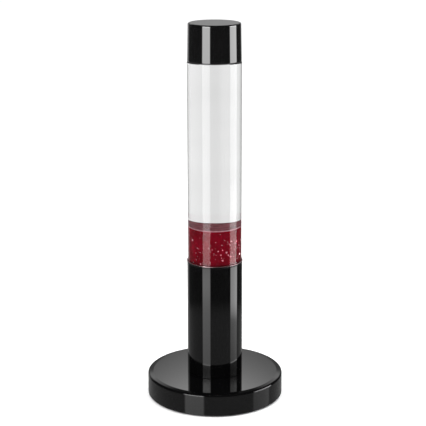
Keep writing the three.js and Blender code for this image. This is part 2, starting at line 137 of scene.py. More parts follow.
def new_material(name, **sockets):
    """A Principled material. Returns it, its tree and its shader."""
    material = bpy.data.materials.new(name)
    material.use_nodes = True
    tree = material.node_tree
    shader = tree.nodes["Principled BSDF"]
    for key, value in sockets.items():
        shader.inputs[key.replace("_", " ")].default_value = value
    return material, tree, shader


def place(tree):
    """Where a point is on the piece, in metres."""
    return add_node(tree, "ShaderNodeTexCoord").outputs["Object"]


def noise(tree, scale, detail=2.0, roughness=0.5, vector=None):
    """The grey value of a Noise texture whose features are about 1/scale metres."""
    vector = vector or place(tree)
    inputs = {"Vector": vector, "Scale": scale, "Detail": detail, "Roughness": roughness}
    return add_node(tree, "ShaderNodeTexNoise", inputs).outputs["Fac"]


def span(tree, value, low, high):
    """value from 0..1 to low..high."""
    inputs = {"Value": value, "To Min": low, "To Max": high}
    return add_node(tree, "ShaderNodeMapRange", inputs).outputs["Result"]


def bump(tree, shader, height, distance, strength=1.0):
    inputs = {"Height": height, "Distance": distance, "Strength": strength}
    node = add_node(tree, "ShaderNodeBump", inputs)
    tree.links.new(node.outputs["Normal"], shader.inputs["Normal"])


def tint_by(tree, shader, value, *stops):
    """Colours a shader by a value, through (position, colour) stops."""
    tree.links.new(ramp(tree, value, stops), shader.inputs["Base Color"])


def roughen(tree, shader, value, low, high):
    """Sets a shader's roughness from low to high by a value from 0 to 1."""
    tree.links.new(span(tree, value, low, high), shader.inputs["Roughness"])


def stretched_place(tree, scale):
    """Where a point is on the piece, scaled so that a texture's features are drawn out."""
    inputs = {0: place(tree), 1: scale}
    return add_node(tree, "ShaderNodeVectorMath", inputs, operation="MULTIPLY").outputs[0]


# ---------------------------------------- materials


def lacquer(name, colour, gloss, peel, ior=1.5):
    """Sprayed lacquer: faint cloudiness in its gloss, and a fine orange peel."""
    material, tree, shader = new_material(name, IOR=ior)
    low, high = [c * 0.8 for c in colour], [c * 1.25 for c in colour]
    tint_by(tree, shader, noise(tree, 60, 3), (0.3, low), (0.7, high))
    roughen(tree, shader, noise(tree, 140, 2), gloss * 0.6, gloss * 1.5)
    bump(tree, shader, noise(tree, 650, 2), peel)
    return material


def bare_metal(name, colour, roughness, grain=900):
    """Plated or bare metal with fine scratches round the piece."""
    material, tree, shader = new_material(name, Metallic=1.0)
    scratches = noise(tree, grain * 4, 4, 0.7, stretched_place(tree, (0.12, 0.12, 1)))
    dark = [c * 0.72 for c in colour]
    tint_by(tree, shader, noise(tree, 120, 4), (0.3, dark), (0.7, colour))
    roughen(tree, shader, scratches, roughness * 0.6, roughness * 1.5)
    bump(tree, shader, scratches, 4e-6)
    return material


def cast_iron(name):
    """Rough grey iron, dulled by a coat of oxide."""
    material, tree, shader = new_material(name, Metallic=0.35)
    grains = noise(tree, 1500, 6, 0.7)
    tint_by(tree, shader, grains, (0.3, grey(0.02)), (0.75, grey(0.075)))
    roughen(tree, shader, grains, 0.55, 0.9)
    bump(tree, shader, grains, 2.5e-4)
    return material


def moulded(name, colour, roughness, grain=2200, depth=1.5e-5):
    """Moulded plastic, rubber or ceramic with a fine skin texture."""
    material, tree, shader = new_material(name, IOR=1.48)
    low, high = [c * 0.85 for c in colour], [min(c * 1.12, 1) for c in colour]
    tint_by(tree, shader, noise(tree, 90, 3), (0.25, low), (0.75, high))
    skin = noise(tree, grain, 3, 0.6)
    roughen(tree, shader, skin, roughness * 0.8, min(roughness * 1.2, 1))
    bump(tree, shader, skin, depth)
    return material


def striped_insulation(name, colour, stripe):
    """An earth lead's insulation, with a stripe along one side."""
    material, tree, shader = new_material(name, Roughness=0.4)
    x, _, z = add_node(tree, "ShaderNodeSeparateXYZ", {0: place(tree)}).outputs
    wave = calc(tree, "SINE", times(tree, calc(tree, "ADD", x, z), 2600))
    tint_by(tree, shader, wave, (0.35, colour), (0.45, stripe))
    bump(tree, shader, noise(tree, 2500, 2), 8e-6)
    return material


def clear_glass(name, tint, ior=1.5, reflects=1.0):
    """Clear drawn glass with very slight waves down its length."""
    material, tree, shader = new_material(name, Transmission_Weight=1.0, IOR=ior, Roughness=0.0)
    shader.inputs["Specular Tint"].default_value = (*grey(reflects), 1)
    low = [c * 0.985 for c in tint]
    tint_by(tree, shader, noise(tree, 25, 2), (0.35, low), (0.65, tint))
    bump(tree, shader, noise(tree, 70, 1, 0.4, stretched_place(tree, (1, 1, 0.12))), 6e-6)
    return material


def red_dye(name):
    """The dyed layer: deep, cloudy and glossy against the glass."""
    material, tree, shader = new_material(name, Roughness=0.06, IOR=1.45)
    shader.inputs["Specular Tint"].default_value = (1.0, 0.06, 0.12, 1)
    tint_by(
        tree,
        shader,
        noise(tree, 90, 3, 0.55),
        (0.28, (0.25, 0.0014, 0.011)),
        (0.5, (0.31, 0.0018, 0.015)),
        (0.72, (0.41, 0.0035, 0.025)),
    )
    roughen(tree, shader, noise(tree, 300, 2), 0.04, 0.1)
    bump(tree, shader, noise(tree, 260, 2), 1.2e-5)
    return material


def red_surface_painted_light(name, low, high, ior):
    """The dyed layer's top face, or its thin edge where it creeps up the glass, painted lighter and
    pinker than the layer: painted light.
    """
    material, tree, shader = new_material(name, Roughness=0.15, IOR=ior)
    tint_by(tree, shader, noise(tree, 240, 3, 0.6), (0.35, low), (0.65, high))
    roughen(tree, shader, noise(tree, 500, 2), 0.1, 0.2)
    return material


def glitter(name, metal, deep, middle, near):
    """Foil flakes: each gets a random tint and brightness, painted shade and light for how deep it
    lies in the dye.
    """
    material, tree, shader = new_material(name, Metallic=metal)
    chance = add_node(tree, "ShaderNodeNewGeometry").outputs["Random Per Island"]
    tint_by(tree, shader, chance, (0.0, deep), (0.55, middle), (0.95, near))
    roughen(tree, shader, noise(tree, 4000, 2), 0.15, 0.4)
    return material


def bulb_silver(name):
    """The bulb's silvered sides."""
    material, tree, shader = new_material(name, Metallic=1.0)
    tint_by(tree, shader, noise(tree, 80, 3), (0.3, grey(0.72)), (0.7, grey(0.85)))
    roughen(tree, shader, noise(tree, 300, 3), 0.08, 0.18)
    bump(tree, shader, noise(tree, 200, 2), 1e-5)
    return material


def frosted_glass(name):
    """The bulb's etched face."""
    material, tree, shader = new_material(name, Transmission_Weight=0.85, IOR=1.5)
    tint_by(tree, shader, noise(tree, 90, 2), (0.3, grey(0.86)), (0.7, grey(0.93)))
    roughen(tree, shader, noise(tree, 2600, 2), 0.35, 0.5)
    bump(tree, shader, noise(tree, 3000, 3), 8e-6)
    return material


BLACK = lacquer("black_lacquer", (0.0014, 0.0014, 0.0015), 0.035, 1.2e-6)
CAP_BLACK = lacquer("cap_black", (0.0014, 0.0014, 0.0015), 0.03, 1.0e-6, ior=2.1)
SATIN_BLACK = lacquer("satin_black", (0.02, 0.02, 0.021), 0.35, 6e-6)
# The column rim's polished metal, tinted pink: a painted reflection of the red fluid in the bottle.
RIM_METAL_RED_REFLECTION = bare_metal("polished_edge_red_reflection", (0.85, 0.56, 0.59), 0.32)
ZINC = bare_metal("zinc_plate", (0.62, 0.63, 0.66), 0.28)
TIN = bare_metal("tinplate", (0.72, 0.71, 0.68), 0.22)
BRASS = bare_metal("brass", (0.78, 0.58, 0.25), 0.22)
NICKEL = bare_metal("nickel_plate", (0.7, 0.67, 0.62), 0.2)
SOLDER = bare_metal("solder", (0.52, 0.52, 0.54), 0.4, 400)
TUNGSTEN = bare_metal("tungsten", (0.16, 0.16, 0.17), 0.4)
IRON = cast_iron("cast_iron")
RUBBER = moulded("black_rubber", (0.022, 0.022, 0.023), 0.75)
BAKELITE = moulded("bakelite", (0.02, 0.017, 0.015), 0.28, 800, 5e-6)
CERAMIC = moulded("glazed_ceramic", (0.8, 0.78, 0.72), 0.22, 500, 8e-6)
NYLON = moulded("white_nylon", (0.78, 0.76, 0.7), 0.45)
SILICONE = moulded("silicone", (0.5, 0.48, 0.44), 0.5)
VITRITE = moulded("black_glass_bead", (0.006, 0.006, 0.008), 0.08, 300, 4e-6)
BROWN = moulded("brown_insulation", (0.12, 0.045, 0.02), 0.4)
BLUE = moulded("blue_insulation", (0.02, 0.09, 0.33), 0.4)
GREEN = striped_insulation("earth_insulation", (0.05, 0.22, 0.03), (0.72, 0.6, 0.05))
GLASS = clear_glass("bottle_glass", grey(0.99))
WETTED_GLASS = clear_glass("bottle_glass_inside", grey(0.99), reflects=0.08)
# Above water's 1.33: it puts the red layer's far edge at the photograph's height.
CLEAR = clear_glass("clear_fluid", (0.99, 0.992, 0.991), ior=1.66, reflects=0.05)
RED = red_dye("red_fluid")
# The red layer's top face, painted far lighter and pinker than its sides: painted light and
# reflection.
RED_TOP_PAINTED_LIGHT = red_surface_painted_light("red_fluid_top_painted_light", (0.62, 0.08, 0.12), (1.0, 0.19, 0.27), ior=1.02)
# A band along the glass at the red layer's edge, painted pale pink: a painted highlight of the
# meniscus.
RED_EDGE_PAINTED_HIGHLIGHT = red_surface_painted_light("red_fluid_edge_painted_highlight", (1.0, 0.4, 0.5), (1.0, 0.52, 0.6), ior=1.3)
# The foil, tinted at random from dark red to pink: painted shade for flakes lying deep in the dye.
GLITTER_PAINTED_SHADE = glitter("glitter_foil", 0.9, (0.28, 0.02, 0.05), (0.5, 0.12, 0.17), (0.8, 0.42, 0.46))
# The same foil in a near-white pink: painted glints on the large flakes.
SPARKS_PAINTED_GLINT = glitter(
    "glitter_foil_painted_glint", 0.85, (1.0, 0.24, 0.32), (1.0, 0.36, 0.45), (1.0, 0.55, 0.62)
)
SILVERED = bulb_silver("silvered_glass")
FROSTED = frosted_glass("frosted_glass")


# ---------------------------------------- mesh building


def arc(centre_r, centre_z, radius, start, stop, steps):
    """Points of an arc in an (r, z) outline, angles in degrees."""
    turns = [math.radians(start + (stop - start) * i / steps) for i in range(steps + 1)]
    return [(centre_r + radius * math.cos(t), centre_z + radius * math.sin(t)) for t in turns]


def round_low(r, z, edge, steps):
    """Rounds an outline's lower outside corner at (r, z)."""
    return arc(r - edge, z + edge, edge, -90, 0, steps)


def round_high(r, z, edge, steps):
    """Rounds an outline's upper outside corner at (r, z)."""
    return arc(r - edge, z - edge, edge, 0, 90, steps)


def piece(name, mesh, body, materials, slot, *nodes):
    """Makes a mesh a piece that rides on a body and stands for CAD nodes."""
    made = new_object(name, mesh)
    for material in materials:
        mesh.materials.append(material)
    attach(made, body)
    if nodes:
        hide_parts(*nodes)
    return made


def mesh_from(build, name):
    """A mesh of what a bmesh has built, which is freed."""
    mesh = bpy.data.meshes.new(name)
    build.to_mesh(mesh)
    build.free()
    return mesh


def finish_mesh(mesh):
    """Smooth shading, with the sharp edges kept."""
    mesh.update()
    mesh.shade_smooth()
    mesh.set_sharp_from_angle(angle=math.radians(SHARP_DEG))


def held_straight(outline, slots, closed):
    """Adds a point just inside each end of a long stretch, so that it is shaded straight."""
    points, kept = [], []
    for i, here in enumerate(outline):
        points.append(here)
        kept.append(slots[i])
        if i == len(outline) - 1 and not closed:
            break
        there = outline[(i + 1) % len(outline)]
        way = Vector(there) - Vector(here)
        if way.length > LONG_STRETCH:
            step = way.normalized() * HOLD * MM
            points += [tuple(Vector(here) + step), tuple(Vector(there) - step)]
            kept += [slots[i], slots[i]]
    return points, kept


def lathe_mesh(name, outline, sides, closed=False, slot_at=None, radius_at=None):
    """Turns an (r, z) outline about Z. Its outside goes up, and an open outline starts and ends on
    the axis. slot_at(i) gives the material slot of the stretch after point i, and
    radius_at(r, z, angle) shapes it."""
    build = bmesh.new()
    slots = [slot_at(i) if slot_at else 0 for i in range(len(outline))]
    points, slots = held_straight(outline, slots, closed)
    rows = []
    for r, z in points:
        if r < 1e-7:
            rows.append([build.verts.new((0, 0, z))] * sides)
            continue
        row = []
        for k in range(sides):
            angle = 2 * math.pi * k / sides
            reach = radius_at(r, z, angle) if radius_at else r
            row.append(build.verts.new((reach * math.sin(angle), -reach * math.cos(angle), z)))
        rows.append(row)
    count = len(rows)
    for i in range(count if closed else count - 1):
        low, high = rows[i], rows[(i + 1) % count]
        for k in range(sides):
            n = (k + 1) % sides
            corners = []
            for vert in (low[k], low[n], high[n], high[k]):
                if vert not in corners:
                    corners.append(vert)
            if len(corners) < 3:
                continue
            build.faces.new(corners).material_index = slots[i]
    bmesh.ops.recalc_face_normals(build, faces=build.faces)
    mesh = mesh_from(build, name)
    finish_mesh(mesh)
    return mesh


def turned(name, node, outline, material, body, slot, sides=MEDIUM, closed=False):
    """A turned piece in one material, standing for one CAD node."""
    return piece(name, lathe_mesh(name, outline, sides, closed), body, [material], slot, node)


def rounded_ring(inner, outer, bottom, top, edge, steps=4):
    """A closed outline of a ring of rectangular section with rounded edges."""
    return [
        *round_low(outer, bottom, edge, steps),
        *round_high(outer, top, edge, steps),
        *arc(inner + edge, top - edge, edge, 90, 180, steps),
        *arc(inner + edge, bottom + edge, edge, 180, 270, steps),
    ]


def cut_with(target, cutter):
    """Takes the cutter out of the target's mesh, and removes the cutter."""
    bpy.context.view_layer.update()
    modifier = target.modifiers.new("cut", "BOOLEAN")
    modifier.object = cutter
    modifier.solver = "EXACT"
    evaluated = target.evaluated_get(bpy.context.evaluated_depsgraph_get())
    mesh = bpy.data.meshes.new_from_object(evaluated)
    target.modifiers.clear()
    target.data = mesh
    bpy.data.objects.remove(cutter)


def dress(node, material, edge=0.0, smooth=False):
    """Gives a carried-over CAD node its material, with softened edges or a smooth surface."""
    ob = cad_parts[node]
    for held in ob.material_slots:
        held.material = material
    weld = ob.modifiers.new("weld", "WELD")
    weld.merge_threshold = 1e-6
    if smooth:
        ob.modifiers.new("smooth", "SUBSURF").render_levels = 2
    if edge:
        bevel = ob.modifiers.new("edge", "BEVEL")
        bevel.width = edge
        bevel.segments = 3
        bevel.limit_method = "ANGLE"
        bevel.angle_limit = math.radians(BEVEL_DEG)


# ---------------------------------------- base

SHEET = 1.0 * MM
BASE_EDGE = 1.8 * MM
BASE_BEVEL = 5.1 * MM  # the top falls away a little over this width, down to its edge
BASE_BEVEL_DROP = 0.36 * MM
HEM = 0.45 * MM


def make_base_cover():
    low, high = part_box("base_shell")
    radius, bottom, top = high[0], low[2], high[2]
    inner = radius - SHEET
    turn_r, turn_z = radius - BASE_EDGE, top - BASE_BEVEL_DROP - BASE_EDGE
    outline = [
        *round_low(radius, bottom, HEM, 4),
        *arc(turn_r, turn_z, BASE_EDGE, 0, 84, 12),
        (radius - BASE_BEVEL, top),
        (radius * 0.62, top),
        (TIE_HOLE_R + 0.3 * MM, top),
        (TIE_HOLE_R, top - 0.3 * MM),
        (TIE_HOLE_R, top - SHEET),
        (radius - BASE_BEVEL, top - SHEET),
        *arc(turn_r, turn_z, BASE_EDGE - SHEET, 84, 0, 6),
        (inner, bottom + HEM),
        (inner + 0.2 * MM, bottom),
    ]
    mesh = lathe_mesh("base_cover", outline, FINEST, True)
    cover = piece("base_cover", mesh, "stand", [BLACK], "black_lacquer", "base_shell")
    cut_inlet(cover, radius)


def cut_inlet(cover, radius):
    """Cuts the hole for the cord's gland in the back of the cover."""
    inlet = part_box("cord_grommet")
    centre_z = (inlet[0][2] + inlet[1][2]) / 2
    hole, reach = 4.3 * MM, 6 * MM
    outline = [(0, -reach), (hole, -reach), (hole, reach), (0, reach)]
    cutter = new_object("cutter", lathe_mesh("cutter", outline, SMALL))
    where = Matrix.Translation((0, radius, centre_z))
    cutter.matrix_world = where @ Matrix.Rotation(math.pi / 2, 4, "X")
    cut_with(cover, cutter)
    finish_mesh(cover.data)


def make_grommet():
    low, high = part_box("cord_grommet")
    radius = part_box("base_shell")[1][0]
    bore, neck, inner_flange = 3.2 * MM, 4.0 * MM, 4.9 * MM
    inner_width, lip = 1.5 * MM, 0.9 * MM
    flange = (high[0] - low[0]) / 2
    back, front = low[1] - radius, high[1] - radius
    edge = 0.4 * MM
    outline = [
        (bore + edge, back),
        *round_low(inner_flange, back, edge, 4),
        (inner_flange, back + inner_width),
        (neck, back + inner_width),
        (neck, 0.3 * MM),
        (flange, 0.3 * MM),
        *arc(flange - lip, front - lip, lip, 20, 90, 6),
        (bore + edge, front),
        *arc(bore + edge, front - edge, edge, 90, 180, 3)[1:],
        (bore, back + edge),
    ]
    mesh = lathe_mesh("cord_gland", outline, SMALL, True)
    mesh.transform(Matrix.Rotation(-math.pi / 2, 4, "X"))
    mesh.transform(Matrix.Translation((0, radius, (low[2] + high[2]) / 2)))
    piece("cord_gland", mesh, "stand", [RUBBER], "grommet_rubber", "cord_grommet")


def make_underside():
    """The base plate with a pressed ring in it, its feet and its screws."""
    low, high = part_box("base_plate")
    edge = 0.4 * MM
    press = 0.25 * MM
    outline = [
        (0, low[2]),
        (20 * MM, low[2]),
        (21 * MM, low[2] + press),
        (24 * MM, low[2] + press),
        (25 * MM, low[2]),
        *round_low(high[0], low[2], edge, 4),
        *round_high(high[0], high[2], edge, 4),
        (0, high[2]),
    ]
    turned("underside_plate", "base_plate", outline, SATIN_BLACK, "stand", "plate_paint", FINE)

    for i in range(1, 5):
        make_foot(i)
        make_plate_screw(i)


def centre_of(node):
    low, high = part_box(node)
    return Vector(((low[0] + high[0]) / 2, (low[1] + high[1]) / 2, 0))


def make_foot(i):
    """A rubber foot, dished underneath."""
    node = f"rubber_foot_{i}"
    low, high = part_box(node)
    radius = (high[0] - low[0]) / 2
    dish, edge = 3.5 * MM, 0.8 * MM
    outline = [
        (0, 0.3 * MM),
        (dish, 0.2 * MM),
        (dish + 0.8 * MM, 0),
        *arc(radius - 1.0 * MM, edge, edge, -90, -12, 5),
        (radius, high[2] - 0.5 * MM),
        (radius - 0.3 * MM, high[2]),
        (0, high[2]),
    ]
    mesh = lathe_mesh(f"foot_{i}", outline, SMALL)
    mesh.transform(Matrix.Translation(centre_of(node)))
    piece(f"foot_{i}", mesh, "stand", [RUBBER], "foot_rubber", node)


def make_plate_screw(i):
    """A pan head screw with a cross recess."""
    node = f"base_plate_screw_{i}"
    low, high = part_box(node)
    head_r, shank_r = (high[0] - low[0]) / 2, 1.45 * MM
    head_top = low[2] + 1.5 * MM
    outline = [
        (0, low[2]),
        (1.0 * MM, low[2] + 0.03 * MM),
        *arc(head_r - 1.1 * MM, head_top - 0.35 * MM, 1.1 * MM, -78, 0, 6),
        (head_r, head_top),
        (shank_r, head_top),
        (shank_r, high[2] - 0.8 * MM),
        (0, high[2]),
    ]
    mesh = lathe_mesh(f"plate_screw_{i}", outline, SMALL)
    mesh.transform(Matrix.Translation(centre_of(node)))
    screw = piece(f"plate_screw_{i}", mesh, "stand", [ZINC], "zinc_steel", node)
    arm, width, depth = 1.5 * MM, 0.5 * MM, 0.8 * MM
    for turn in (0, math.pi / 2):
        build = bmesh.new()
        bmesh.ops.create_cube(build, size=1)
        cutter = new_object("cutter", mesh_from(build, "cutter"))
        where = Matrix.Translation(centre_of(node) + Vector((0, 0, low[2])))
        turned_by = Matrix.Rotation(turn + math.radians(20 * i), 4, "Z")
        cutter.matrix_world = where @ turned_by @ Matrix.Diagonal((2 * arm, width, 2 * depth, 1))
        cut_with(screw, cutter)
    finish_mesh(screw.data)


# ---------------------------------------- column and what is in it

COLUMN_WALL = 0.45 * MM


def make_column():
    low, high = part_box("column_tube")
    rim_r, top, foot = high[0], high[2], low[2]
    side_r = rim_r - 0.3 * MM
    bore = side_r - COLUMN_WALL
    bead = 0.4 * MM
    neck_z = top - 1.6 * MM
    below = [
        (bore + 0.1 * MM, foot),
        (side_r, foot),
        (side_r, neck_z - 0.5 * MM),
        *arc(side_r + 0.7 * MM, neck_z - 0.5 * MM, 0.7 * MM, 180, 125, 5)[1:],
        (rim_r - 0.1 * MM, top - 2 * bead - 0.1 * MM),
    ]
    polished = [
        *arc(rim_r - bead, top - bead, bead, -20, 90, 8),
        *arc(bore + 0.3 * MM, top - 0.3 * MM, 0.3 * MM, 90, 180, 5),
    ]
    outline = [*below, *polished, (bore, foot + 0.1 * MM)]
    starts, ends = len(below), len(below) + len(polished) - 1

    def slot_at(i):
        return 1 if starts <= i < ends else 0

    mesh = lathe_mesh("column", outline, FINEST, True, slot_at)
    piece("column", mesh, "stand", [BLACK, RIM_METAL_RED_REFLECTION], "black_lacquer", "column_tube")


def make_column_fittings():
    low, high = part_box("column_foot_cup")
    radius, wall = high[0], 1.0 * MM
    floor_top = low[2] + 1.2 * MM
    outline = [
        (TIE_HOLE_R, low[2]),
        *round_low(radius, low[2], 1.2 * MM, 6),
        (radius, high[2] - 0.3 * MM),
        (radius - 0.3 * MM, high[2]),
        (radius - wall, high[2]),
        (radius - wall, floor_top + 0.4 * MM),
        (radius - wall - 0.4 * MM, floor_top),
        (TIE_HOLE_R, floor_top),
    ]
    turned("foot_cup", "column_foot_cup", outline, ZINC, "stand", "zinc_steel", FINE, True)

    low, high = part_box("bottle_seat_ring")
    radius, wall, opening = high[0], 0.8 * MM, 20.3 * MM
    outline = [
        (radius - wall, low[2]),
        (radius, low[2]),
        *round_high(radius, high[2], 1.0 * MM, 6),
        *arc(opening + 0.4 * MM, high[2] - 0.4 * MM, 0.4 * MM, 90, 270, 8),
        (radius - wall - 0.3 * MM, high[2] - wall),
        (radius - wall, high[2] - wall - 0.3 * MM),
    ]
    turned("seat_ring", "bottle_seat_ring", outline, ZINC, "stand", "zinc_steel", FINE, True)

    low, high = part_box("bottle_seat_gasket")
    outline = rounded_ring(20.5 * MM, high[0], low[2], high[2], 0.6 * MM, 5)
    mesh = lathe_mesh("seat_gasket", outline, FINE, True)
    piece("seat_gasket", mesh, "stand", [SILICONE], "gasket_silicone", "bottle_seat_gasket")


def make_lampholder():
    """The two bakelite covers, the ceramic core and the brass screw shell."""
    low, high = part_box("lampholder_cap")
    radius, wall = high[0], 1.8 * MM
    floor, boss_r, boss_top = low[2] + 2.4 * MM, 7.4 * MM, low[2] + 7.4 * MM
    groove = 0.25 * MM
    outline = [
        (TIE_HOLE_R, low[2]),
        *round_low(radius, low[2], 2 * MM, 8),
        (radius, high[2] - 1.6 * MM),
        (radius - groove, high[2] - 1.5 * MM),
        (radius - groove, high[2] - 1.1 * MM),
        (radius, high[2] - 1.0 * MM),
        (radius, high[2] - 0.2 * MM),
        (radius - 0.2 * MM, high[2]),
        (radius - wall, high[2]),
        (radius - wall, floor),
        (boss_r, floor),
        (boss_r, boss_top),
        (TIE_HOLE_R, boss_top),
    ]
    turned(
        "holder_cap", "lampholder_cap", outline, BAKELITE, "stand", "black_bakelite", MEDIUM, True
    )

    low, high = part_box("lampholder_shell")
    collar = radius - 1.5 * MM
    mouth = 8.4 * MM
    grip_low, grip_high = low[2] + 3 * MM, high[2] - 10 * MM
    ribs, rib_depth = 30, 0.3 * MM

    def ribbed(r, z, angle):
        """Fine upright ribs round the grip."""
        if abs(r - radius) > 1e-6 or not grip_low < z < grip_high:
            return r
        return r - rib_depth * (0.5 - 0.5 * math.cos(ribs * angle))

    outline = [
        (radius - wall, low[2]),
        (radius - 0.2 * MM, low[2]),
        (radius, low[2] + 0.2 * MM),
        (radius, grip_low - 0.1 * MM),
        (radius, grip_low + 0.4 * MM),
        (radius, grip_high - 0.4 * MM),
        (radius, grip_high + 0.1 * MM),
        *arc(radius - 0.6 * MM, high[2] - 8 * MM, 0.6 * MM, 0, 80, 4),
        (collar, high[2] - 7 * MM),
        *round_high(collar, high[2], 1 * MM, 6),
        *arc(mouth + 0.5 * MM, high[2] - 0.5 * MM, 0.5 * MM, 90, 180, 4),
        (mouth, high[2] - wall),
        (collar - wall, high[2] - wall),
        (collar - wall, high[2] - 9 * MM),
        (radius - wall, high[2] - 10 * MM),
    ]
    mesh = lathe_mesh("holder_shell", outline, 8 * ribs, True, radius_at=ribbed)
    piece("holder_shell", mesh, "stand", [BAKELITE], "black_bakelite", "lampholder_shell")

    low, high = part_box("lampholder_core")
    radius, step = high[0], 8.2 * MM
    outline = [
        (0, low[2]),
        *round_low(radius, low[2], 0.5 * MM, 4),
        *round_high(radius, low[2] + 4 * MM, 0.5 * MM, 4),
        (step, low[2] + 4 * MM),
        *round_high(step, high[2], 0.4 * MM, 4),
        (0, high[2]),
    ]
    turned("holder_core", "lampholder_core", outline, CERAMIC, "stand", "white_ceramic", MEDIUM)

    low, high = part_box("lampholder_screw_shell")
    bore, lip = 7.35 * MM, high[0]
    thick = 0.35 * MM
    outline = [
        (bore, low[2]),
        (bore + thick, low[2]),
        (bore + thick, high[2] - 1.2 * MM),
        *arc(lip - 0.5 * MM, high[2] - 0.5 * MM, 0.5 * MM, -60, 90, 8),
        (bore + 0.2 * MM, high[2]),
        (bore, high[2] - 0.2 * MM),
    ]
    turned(
        "holder_thread", "lampholder_screw_shell", outline, BRASS, "stand", "brass", MEDIUM, True
    )


def make_tie():
    """The threaded tube that holds base, column and lampholder together, and its washer."""
    low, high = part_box("tie_tube")
    radius, bore, pitch = high[0], 3.3 * MM, 1.0 * MM
    root = radius - 0.45 * MM
    turns = int((high[2] - low[2]) / pitch)
    threads = []
    for i in range(turns):
        z = low[2] + 0.3 * MM + pitch * i
        threads += [(root, z), (radius, z + 0.35 * MM), (radius, z + 0.45 * MM)]
    outline = [(bore, low[2]), (root, low[2]), *threads, (root, high[2]), (bore, high[2])]
    turned("tie_rod", "tie_tube", outline, BRASS, "stand", "brass", SMALL, True)

    low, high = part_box("tie_washer")
    outline = rounded_ring(TIE_HOLE_R, high[0], low[2], high[2], 0.3 * MM, 3)
    turned("tie_plate_washer", "tie_washer", outline, ZINC, "stand", "zinc_steel", MEDIUM, True)


# ---------------------------------------- bulb


def make_bulb():
    """A reflector bulb: envelope, screw cap, tip contact and the black glass bead between."""
    low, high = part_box("bulb_glass")
    widest, top, neck_z = high[0], high[2], low[2]
    wall = 0.7 * MM
    bowl_z = neck_z + 28.6 * MM
    edge_r, face_r = 4 * MM, 24 * MM

    def envelope(offset):
        """The outline, drawn in from the glass's outside by offset."""
        neck = 6.3 * MM - offset
        bowl = [
            (neck, neck_z),
            (neck + 0.2 * MM, neck_z + 5 * MM),
            (8.6 * MM - offset, bowl_z - 19 * MM),
            (13.4 * MM - offset, bowl_z - 12 * MM),
            (17.4 * MM - offset, bowl_z - 5.5 * MM),
            (widest - offset, bowl_z),
        ]
        return [
            *smooth_line(bowl, 5),
            *arc(widest - edge_r, bowl_z + 4.4 * MM, edge_r - offset, 0, 50, 6),
            *arc(0, top - face_r, face_r - offset, 48, 90, 14),
        ]

    outside = envelope(0)
    inside = envelope(wall)
    inside[-1] = (0, inside[-1][1])
    outside[-1] = (0, outside[-1][1])
    outline = inside[::-1] + outside
    face_z = bowl_z + 4 * MM

    def slot_at(i):
        return 1 if outline[i][1] > face_z else 0

    mesh = lathe_mesh("bulb_envelope", outline, MEDIUM, slot_at=slot_at)
    piece("bulb_envelope", mesh, "bulb", [SILVERED, FROSTED], "bulb_glass", "bulb_glass")

    low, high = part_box("bulb_screw_cap")
    crest, bottom = 6.9 * MM, low[2]
    root, pitch, turns = crest - 0.5 * MM, 2.82 * MM, 5
    first = bottom + 0.8 * MM
    thread_top = first + pitch * turns
    flare = high[0]
    steps = 12
    wave = []
    for i in range(turns * steps + 1):
        swell = 0.5 - 0.5 * math.cos(2 * math.pi * i / steps)
        wave.append((root + (crest - root) * swell, first + pitch * i / steps))
    inner, wall = root - 0.45 * MM, 0.4 * MM
    hole, rim = 5.3 * MM, 0.5 * MM
    outline = [
        (hole, bottom),
        (root, bottom),
        *wave,
        (flare, thread_top + 1.2 * MM),
        (flare, high[2] - 0.2 * MM),
        (flare - 0.2 * MM, high[2]),
        (flare - wall, high[2]),
        (flare - wall, thread_top + 1.4 * MM),
        (6.45 * MM, thread_top + 0.6 * MM),
        (inner, thread_top),
        (inner, bottom + rim),
        (hole, bottom + rim),
    ]
    turned("bulb_cap", "bulb_screw_cap", outline, NICKEL, "bulb", "bulb_nickel", MEDIUM, True)

    low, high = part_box("bulb_contact")
    tip_r = 2.6 * MM
    tip = arc(0, low[2] + tip_r, tip_r, -80, -40, 6)
    outline = [(0, low[2]), *tip, (2.35 * MM, high[2]), (0, high[2])]
    turned("bulb_tip", "bulb_contact", outline, SOLDER, "bulb", "solder", SMALL)

    low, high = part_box("bulb_insulator")
    outline = [
        (0, low[2]),
        (2.8 * MM, low[2]),
        (4.4 * MM, low[2] + 1.3 * MM),
        (high[0], high[2] - 0.2 * MM),
        (high[0] - 0.2 * MM, high[2]),
        (0, high[2]),
    ]
    turned("bulb_bead", "bulb_insulator", outline, VITRITE, "bulb", "black_vitrite", SMALL)


def smooth_line(points, steps):
    """A Catmull-Rom line through (r, z) points."""
    padded = [points[0], *points, points[-1]]
    line = []
    for i in range(1, len(padded) - 2):
        a, b, c, d = (Vector(p) for p in padded[i - 1 : i + 3])
        for k in range(steps):
            t = k / steps
            square, cube = 2 * a - 5 * b + 4 * c - d, 3 * b - a - 3 * c + d
            line.append(tuple(0.5 * (2 * b + (c - a) * t + square * t**2 + cube * t**3)))
    return [*line, points[-1]]


# ---------------------------------------- bottle

GLASS_WALL = 2.2 * MM
FLOOR = 3.0 * MM
HEEL_R = 3.0 * MM  # the round at the bottle's foot, outside and inside
SHOULDER_Z = 321.1 * MM  # where the straight side ends
SHOULDER_R = 0.6 * MM  # the turn from side to shoulder, outside and inside
SHOULDER_DEG = 52
NECK_Z = 331 * MM
NECK_BORE = 9.6 * MM
OVERLAP = 0.05 * MM  # how far the liquids reach into the glass, so that no air lies between


def bore_shoulder(bore):
    """The turn of the bottle's bore under the shoulder."""
    return arc(bore - SHOULDER_R, SHOULDER_Z - 0.8 * MM, SHOULDER_R, 0, SHOULDER_DEG, 8)


